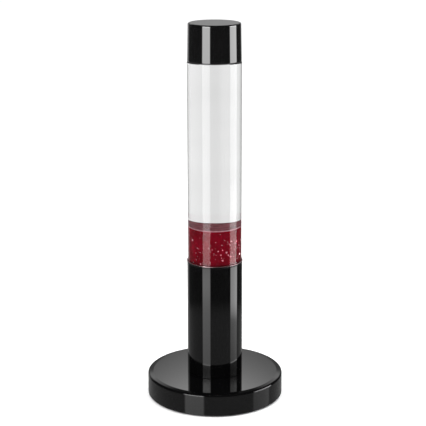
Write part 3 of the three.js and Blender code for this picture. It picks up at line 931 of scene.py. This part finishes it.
def make_bottle():
    low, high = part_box("glass_bottle")
    side, bottom, top = high[0], low[2], high[2]
    bore = side - GLASS_WALL
    neck, lip_r = 12.2 * MM, 1.0 * MM
    outside = [
        (0, bottom + 1.2 * MM),
        (12 * MM, bottom + 1.0 * MM),
        (19.5 * MM, bottom + 0.15 * MM),
        (20.5 * MM, bottom),
        *round_low(side, bottom, HEEL_R, 12),
        *arc(side - SHOULDER_R, SHOULDER_Z, SHOULDER_R, 0, SHOULDER_DEG, 12),
        (neck + 1.2 * MM, NECK_Z - 0.95 * MM),
        (neck + 0.3 * MM, NECK_Z + 0.3 * MM),
        (neck, NECK_Z + 1.4 * MM),
        (neck, top - 5 * MM),
        *arc(neck + 0.1 * MM, top - 3.6 * MM, lip_r, -60, 0, 4),
        *arc(neck + 0.1 * MM, top - lip_r, lip_r, 0, 90, 6),
    ]
    inside = [
        (NECK_BORE + 0.3 * MM, top),
        (NECK_BORE, top - 0.4 * MM),
        (NECK_BORE, NECK_Z),
        *reversed(bore_shoulder(bore)),
        *reversed(round_low(bore, bottom + FLOOR, HEEL_R, 10)),
        (0, bottom + FLOOR),
    ]
    outline = outside + inside
    edge = len(outside)
    mesh = lathe_mesh("bottle", outline, FINEST, slot_at=lambda i: 1 if i >= edge else 0)
    piece("bottle", mesh, "bottle", [GLASS, WETTED_GLASS], "clear_glass", "glass_bottle")


def make_liquids():
    """The red layer with its film and top face, and the clear one over it up to the shoulder."""
    low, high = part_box("glass_bottle")
    bore = high[0] - GLASS_WALL + OVERLAP
    floor = low[2] + FLOOR - OVERLAP
    level = (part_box("red_liquid")[1][2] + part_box("clear_liquid")[0][2]) / 2
    creep, creep_width = 0.15 * MM, 1.6 * MM  # how far the red layer climbs the glass
    highlight_band_height = 0.95 * MM  # how far below the level its edge is painted paler: a painted highlight of the meniscus
    side = [(0, floor), *round_low(bore, floor, HEEL_R, 10), (bore, level - highlight_band_height)]
    film = [(bore, level + creep)]
    for t in (0.06, 0.15, 0.3, 0.55, 1.0):
        film.append((bore - creep_width * t, level + creep * (1 - t) ** 3))
    edge = len(side) - 1

    # slot 1 takes the painted highlight band at the edge, slot 2 the top face painted lighter
    def slot_at(i):
        if i < edge:
            return 0
        return 1 if i <= edge + 2 else 2

    mesh = lathe_mesh("red_fill", [*side, *film, (0, level)], FINEST, slot_at=slot_at)
    piece("red_fill", mesh, "bottle", [RED, RED_EDGE_PAINTED_HIGHLIGHT, RED_TOP_PAINTED_LIGHT], "red_liquid", "red_liquid")

    fill_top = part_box("clear_liquid")[1][2]
    shoulder = bore_shoulder(bore)
    slope_from, slope_z = shoulder[-1]
    share = (fill_top - slope_z) / (NECK_Z - slope_z)
    slope_r = slope_from + (NECK_BORE - slope_from) * share + OVERLAP
    under = level - OVERLAP
    clear = [(0, under), (bore, under), *shoulder, (slope_r, fill_top), (0, fill_top)]
    turned("clear_fill", "clear_liquid", clear, CLEAR, "bottle", "clear_liquid", FINEST)


SMALL_FLAKES = 420
BRIGHT_FLAKES = 80
FLAKE_DEPTH = 0.3 * MM  # how far inside the liquid's side the flakes lie
FLAKE_THICKNESS = 0.03 * MM
FLAKE_LEAN = 0.16  # radians
SMALL_SIZES = (0.2, 0.42)  # radii, mm
BRIGHT_SIZES = (0.45, 0.5, 0.6, 0.8, 1.1)
GATHER_AT, GATHER_SPREAD = 0.55, 0.6  # where the ones painted bright gather, in radians from the front


def make_flake(build, rng, wall, angle, z, size, slot):
    """One six-sided flake of foil, leaning a little from the glass."""
    out = Vector((math.sin(angle), -math.cos(angle), 0))
    lean = Matrix.Rotation(rng.gauss(0, FLAKE_LEAN), 4, "Z")
    lean = lean @ Matrix.Rotation(rng.gauss(0, FLAKE_LEAN), 4, "X")
    spin = Matrix.Rotation(rng.uniform(0, math.pi), 4, "Z")
    turn = out.to_track_quat("Z", "Y").to_matrix().to_4x4() @ spin
    made = bmesh.ops.create_cone(
        build,
        cap_ends=True,
        segments=6,
        radius1=size,
        radius2=size * 0.96,
        depth=FLAKE_THICKNESS,
        matrix=Matrix.Translation(out * wall + Vector((0, 0, z))) @ lean @ turn,
    )
    for face in {face for vert in made["verts"] for face in vert.link_faces}:
        face.material_index = slot


def make_glitter():
    """Flakes just inside the glass: many small ones painted dim, and some large ones painted bright
    as glints, of which half gather to the right of the front."""
    rng = random.Random(7)
    low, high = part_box("red_liquid")
    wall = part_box("glass_bottle")[1][0] - GLASS_WALL + OVERLAP + FLAKE_DEPTH
    foot, height = low[2] + 3 * MM, high[2] - low[2] - 5.5 * MM
    build = bmesh.new()
    for _ in range(SMALL_FLAKES):
        angle = rng.uniform(0, 2 * math.pi)
        z = foot + height * rng.random() ** 1.3
        make_flake(build, rng, wall, angle, z, rng.uniform(*SMALL_SIZES) * MM, 0)
    for i in range(BRIGHT_FLAKES):
        gathers = i % 2 == 1
        angle = rng.gauss(GATHER_AT, GATHER_SPREAD) if gathers else rng.uniform(0, 2 * math.pi)
        z = foot + height * (0.1 + 0.72 * rng.random())
        make_flake(build, rng, wall, angle, z, rng.choice(BRIGHT_SIZES) * MM, 1)
    mesh = mesh_from(build, "glitter_flakes")
    piece("glitter_flakes", mesh, "bottle", [GLITTER_PAINTED_SHADE, SPARKS_PAINTED_GLINT], "red_liquid")


def make_crown():
    """A pressed crown cap, its skirt crimped in 21 flutes, and the liner under it."""
    low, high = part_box("bottle_crown_cap")
    skirt, bottom, top = high[0], low[2], high[2]
    flutes, flute_depth = 21, 0.55 * MM
    thick = 0.35 * MM
    flutes_top = top - 1.2 * MM

    def crimped(r, z, angle):
        depth = min(max((flutes_top - z) / (flutes_top - bottom), 0), 1)
        return r - depth * flute_depth * (0.5 - 0.5 * math.cos(flutes * angle))

    crown_r, edge = 13.2 * MM, 0.9 * MM
    lean, rise = skirt - crown_r - 0.7 * MM, top - 1.0 * MM - bottom
    outside = [(skirt - lean * t, bottom + rise * t) for t in (0, 0.2, 0.4, 0.6, 0.8, 1.0)]
    outside += [*arc(crown_r - 0.1 * MM, top - edge, edge, 15, 90, 6), (0, top)]
    inside = [(max(r - thick, 0), z - (thick if r < crown_r else 0)) for r, z in outside]
    outline = inside[::-1] + outside
    mesh = lathe_mesh("crown", outline, flutes * 10, radius_at=crimped)
    piece("crown", mesh, "bottle", [TIN], "crown_tinplate", "bottle_crown_cap")

    low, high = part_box("crown_liner")
    edge = 0.2 * MM
    outline = [
        (0, low[2]),
        *round_low(high[0], low[2], edge, 3),
        *round_high(high[0], high[2], edge, 3),
        (0, high[2]),
    ]
    turned("liner", "crown_liner", outline, SILICONE, "bottle", "gasket_silicone", MEDIUM)


# ---------------------------------------- cap

CAP_WALL = 0.8 * MM


def make_cap():
    """The cap, which widens a little to its foot, and the collar inside it."""
    low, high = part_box("top_cap")
    foot_r, bottom, top = high[0], low[2], high[2]
    top_r = foot_r - 0.6 * MM
    edge = 1.5 * MM
    lip_z = bottom + 1.1 * MM
    ceiling, inner_edge = top - CAP_WALL, 0.5 * MM
    outline = [
        (0, ceiling),
        *arc(top_r - CAP_WALL - inner_edge, ceiling - inner_edge, inner_edge, 90, 0, 4),
        (foot_r - CAP_WALL, lip_z),
        (foot_r - 0.45 * MM, bottom),
        (foot_r - 0.35 * MM, bottom),
        (foot_r - 0.3 * MM, bottom + 0.2 * MM),
        (foot_r, lip_z),
        *arc(top_r - edge, top - edge, edge, 1, 90, 12),
        (0, top),
    ]
    turned("cap", "top_cap", outline, CAP_BLACK, "cap", "black_lacquer", FINEST)

    low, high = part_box("cap_collar")
    outline = rounded_ring(14.8 * MM, high[0], low[2], high[2], 0.5 * MM, 4)
    turned("collar", "cap_collar", outline, NYLON, "cap", "white_nylon", FINE, True)


# ---------------------------------------- carried-over CAD nodes


def dress_nodes():
    """The hidden nodes that keep their CAD meshes, with softened edges or smooth all over."""
    edged = {
        "ballast_weight": (IRON, 0.5 * MM),
        "terminal_block": (NYLON, 0.3 * MM),
        **{f"terminal_screw_{i}": (ZINC, 0.15 * MM) for i in (1, 2, 3)},
        "tie_nut": (BRASS, 0.3 * MM),
        "earth_tag": (BRASS, 0.1 * MM),
        "earth_screw": (BRASS, 0.15 * MM),
        "lampholder_contact": (BRASS, 0.1 * MM),
    }
    for node, (material, edge) in edged.items():
        dress(node, material, edge)
    smooth = {
        "bulb_stem": FROSTED,
        "filament": TUNGSTEN,
        "filament_support_1": TUNGSTEN,
        "filament_support_2": TUNGSTEN,
        "live_lead": BROWN,
        "neutral_lead": BLUE,
        "earth_lead": GREEN,
    }
    for node, material in smooth.items():
        dress(node, material, smooth=True)


# ---------------------------------------- studio

# The strip lights start, are full, fade and end at these degrees round from the front.
LEFT_STRIP = (-54.5, -50.5, -21, -17)
RIGHT_STRIP = (67, 71, 104, 108)
# What is mirrored: (degrees above the horizon, level).
ROOM = [(-40, 0.25), (-19.4, 0.25), (-18.9, 0.055), (-3, 0.04), (60, 0.03)]
SWEEP = [
    (-40, 0.2), (-24, 0.22), (-21, 0.3), (-18, 0.62), (-5, 0.62), (8, 0.46), (16, 0.36),
    (19.5, 0.42), (20.8, 0.54), (21.4, 0.72), (22, 1.0), (22.8, 1.5), (25, 1.8), (29, 1.0),
    (32, 0.1), (60, 0.05),
]
LEFT_LOW = [
    (-40, 0.6), (-24, 0.9), (-21, 1.45), (-19.3, 1.95), (-18.4, 3.0), (-17.9, 3.2),
    (-17.3, 2.3), (-17, 2.4), (-15.7, 2.7), (-15.3, 2.9), (-14, 2.9), (-9, 2.6), (-6.5, 3.3),
]
RIGHT_LOW = [
    (-40, 0.3), (-23.5, 0.4), (-22, 0.5), (-20.5, 1.0), (-19.6, 1.2), (-19.1, 4.4),
    (-17.4, 4.4), (-17, 3.0), (-15.7, 2.9), (-15.3, 3.9), (-14.5, 4.0), (-13.4, 2.4),
    (-9, 2.8), (-6.5, 3.4),
]
BOTH_STRIPS = [(-3, 3.6), (1.5, 4.5), (3, 11), (10, 11), (11.5, 0), (17.5, 0)]
LEFT_HIGH, RIGHT_HIGH = 5.0, 2.2
# The column's foot and the base's top mirror each other: dim, a gap at the foot, then bright.
FOOT_SHARE = [
    (21.4, 1.0), (21.45, 0.55), (22.05, 0.3), (22.1, 0), (22.32, 0), (22.34, 3.2),
    (22.6, 2.2), (22.8, 1.7), (23.6, 1.7), (23.7, 1.0),
]
# The sweep is brighter straight behind: (degrees off, share), from SPOT_FROM to SPOT_FULL up.
SPOT = [(0, 1.15), (1.2, 1.08), (2, 0.92), (3, 0.7), (6, 0.55), (60, 0.55)]
SPOT_FROM, SPOT_FULL = 10, 19
# The sweep sets in this many degrees to each side of the dark room's middle.
ROOM_MIDDLE = 6
SWEEP_FROM, SWEEP_FULL = 138, 156
# What is seen through glass, all the way round: (degrees round from the front, level).
THROUGH = [
    (-180, 0.78), (-174, 0.79), (-166, 0.85), (-150, 0.88), (-142, 0.9), (-133, 0.93),
    (-119, 0.9), (-109, 0.82), (-102, 0.66), (-94, 0.45), (-60, 0.6), (0, 0.75),
    (60, 0.6), (97, 0.4), (103, 0.7), (111, 1.02), (119, 0.98), (133, 0.93), (150, 0.876),
    (166, 0.85), (174, 0.79), (180, 0.78),
]
THROUGH_LEFT, THROUGH_RIGHT = 2.8, 3.6  # the strips' levels through glass
THROUGH_FROM, THROUGH_FULL = -15.2, -15.6  # and the elevations where they set in
LIGHTS_AIM_Z = 0.15
FLOOR_RADIUS = 25


def strip_levels(low_down, high_up):
    """A strip light's levels: its own low down and high up, and between them the same for both."""
    return [*low_down, *BOTH_STRIPS, (19, high_up), (25, high_up), (27, 0), (60, 0)]


def between(tree, value, low, high, smooth=True):
    """0 at low and 1 at high."""
    inputs = {"Value": value, "From Min": low, "From Max": high}
    kind = "SMOOTHSTEP" if smooth else "LINEAR"
    return add_node(tree, "ShaderNodeMapRange", inputs, interpolation_type=kind).outputs[0]


def window(tree, azimuth, starts, full, fades, ends):
    """1 from full to fades, and 0 before starts and after ends."""
    rise = between(tree, azimuth, starts, full)
    fall = between(tree, azimuth, fades, ends)
    return calc(tree, "SUBTRACT", rise, fall, clamp=True)


def by_angle(tree, angle, stops):
    """A level that follows an angle in degrees, through (degrees, level) stops."""
    low, high = stops[0][0], stops[-1][0]
    most = max(level for _, level in stops)
    share = between(tree, angle, low, high, False)
    spread = [((deg - low) / (high - low), grey(level / most)) for deg, level in stops]
    curve = ramp(tree, share, spread)
    value = add_node(tree, "ShaderNodeRGBToBW", {0: curve}).outputs[0]
    return times(tree, value, most)


def mirrored_room(tree, azimuth, elevation):
    """What gloss surfaces mirror: a dark room, a lit sweep behind and two strip lights."""
    front = by_angle(tree, elevation, ROOM)
    sweep = by_angle(tree, elevation, SWEEP)
    off_middle = calc(tree, "SUBTRACT", 180, calc(tree, "ABSOLUTE", azimuth))
    spot = by_angle(tree, off_middle, SPOT)
    high_up = between(tree, elevation, SPOT_FROM, SPOT_FULL)
    spot = calc(tree, "ADD", 1.0, times(tree, high_up, calc(tree, "SUBTRACT", spot, 1.0)))
    sweep = times(tree, sweep, spot)
    aside = calc(tree, "ABSOLUTE", calc(tree, "SUBTRACT", azimuth, ROOM_MIDDLE))
    behind = between(tree, aside, SWEEP_FROM, SWEEP_FULL)
    brighter = calc(tree, "SUBTRACT", sweep, front)
    room = calc(tree, "ADD", front, times(tree, brighter, behind))
    left = by_angle(tree, elevation, strip_levels(LEFT_LOW, LEFT_HIGH))
    right = by_angle(tree, elevation, strip_levels(RIGHT_LOW, RIGHT_HIGH))
    left = times(tree, left, window(tree, azimuth, *LEFT_STRIP))
    right = times(tree, right, window(tree, azimuth, *RIGHT_STRIP))
    at_foot = by_angle(tree, elevation, FOOT_SHARE)
    strips = times(tree, calc(tree, "ADD", left, right), at_foot)
    return calc(tree, "ADD", room, strips)


def sweep_through_glass(tree, azimuth, elevation):
    """What is seen through glass: the sweep behind, and lower down the two strip lights."""
    sweep = by_angle(tree, azimuth, THROUGH)
    below = between(tree, elevation, THROUGH_FROM, THROUGH_FULL)
    left = times(tree, window(tree, azimuth, *LEFT_STRIP), THROUGH_LEFT)
    right = times(tree, window(tree, azimuth, *RIGHT_STRIP), THROUGH_RIGHT)
    return calc(tree, "MULTIPLY_ADD", calc(tree, "ADD", left, right), below, sweep)


def make_world():
    """The surroundings: white, but a mirrored room for gloss and a sweep behind for glass."""
    world = bpy.data.worlds.new("studio")
    bpy.context.scene.world = world
    world.use_nodes = True
    tree = world.node_tree
    tree.nodes.clear()
    way = add_node(tree, "ShaderNodeTexCoord").outputs["Generated"]
    x, y, z = add_node(tree, "ShaderNodeSeparateXYZ", {0: way}).outputs
    azimuth = calc(tree, "DEGREES", calc(tree, "ARCTAN2", x, times(tree, y, -1.0)))
    elevation = calc(tree, "DEGREES", calc(tree, "ARCSINE", z))

    def background(strength):
        inputs = {"Color": (1, 1, 1, 1), "Strength": strength}
        return add_node(tree, "ShaderNodeBackground", inputs).outputs[0]

    path = add_node(tree, "ShaderNodeLightPath")
    surroundings = background(1.0)
    for kind, seen in (
        ("Is Glossy Ray", mirrored_room(tree, azimuth, elevation)),
        ("Is Transmission Ray", sweep_through_glass(tree, azimuth, elevation)),
    ):
        inputs = {0: path.outputs[kind], 1: surroundings, 2: background(seen)}
        surroundings = add_node(tree, "ShaderNodeMixShader", inputs).outputs[0]
    add_node(tree, "ShaderNodeOutputWorld", {"Surface": surroundings})


def make_light(name, place_at, size, energy):
    """A softbox aimed at the lamp, which lights it but doesn't show, mirrored or not."""
    data = bpy.data.lights.new(name, "AREA")
    data.shape = "RECTANGLE"
    data.size, data.size_y = size
    data.energy = energy
    light = new_object(name, data)
    light.location = place_at
    aim = Vector((0, 0, LIGHTS_AIM_Z)) - Vector(place_at)
    light.rotation_euler = aim.to_track_quat("-Z", "Y").to_euler()
    light.visible_glossy = False
    light.visible_transmission = False
    light.visible_camera = False


def make_floor():
    build = bmesh.new()
    bmesh.ops.create_circle(build, cap_ends=True, segments=MEDIUM, radius=FLOOR_RADIUS)
    mesh = mesh_from(build, "floor")
    floor = new_object("floor", mesh)
    material, tree, shader = new_material("white_sweep", Roughness=0.9)
    shader.inputs["Specular IOR Level"].default_value = 0
    tint_by(tree, shader, noise(tree, 6, 2), (0.3, grey(0.92)), (0.7, grey(0.94)))
    mesh.materials.append(material)
    floor.visible_glossy = False
    floor.visible_transmission = False


def make_studio():
    make_world()
    make_floor()
    make_light("left_softbox", (-1.6, -1.5, 1.7), (1.2, 1.8), 26)
    make_light("right_softbox", (1.9, -0.6, 1.7), (1.2, 1.8), 26)
    make_light("overhead", (0, 0.3, 2.6), (2.5, 2.5), 40)
    bpy.context.scene.view_settings.view_transform = "Standard"


make_camera()
make_studio()
make_base_cover()
make_grommet()
make_underside()
make_column()
make_column_fittings()
make_lampholder()
make_tie()
make_bulb()
make_bottle()
make_liquids()
make_glitter()
make_crown()
make_cap()
dress_nodes()
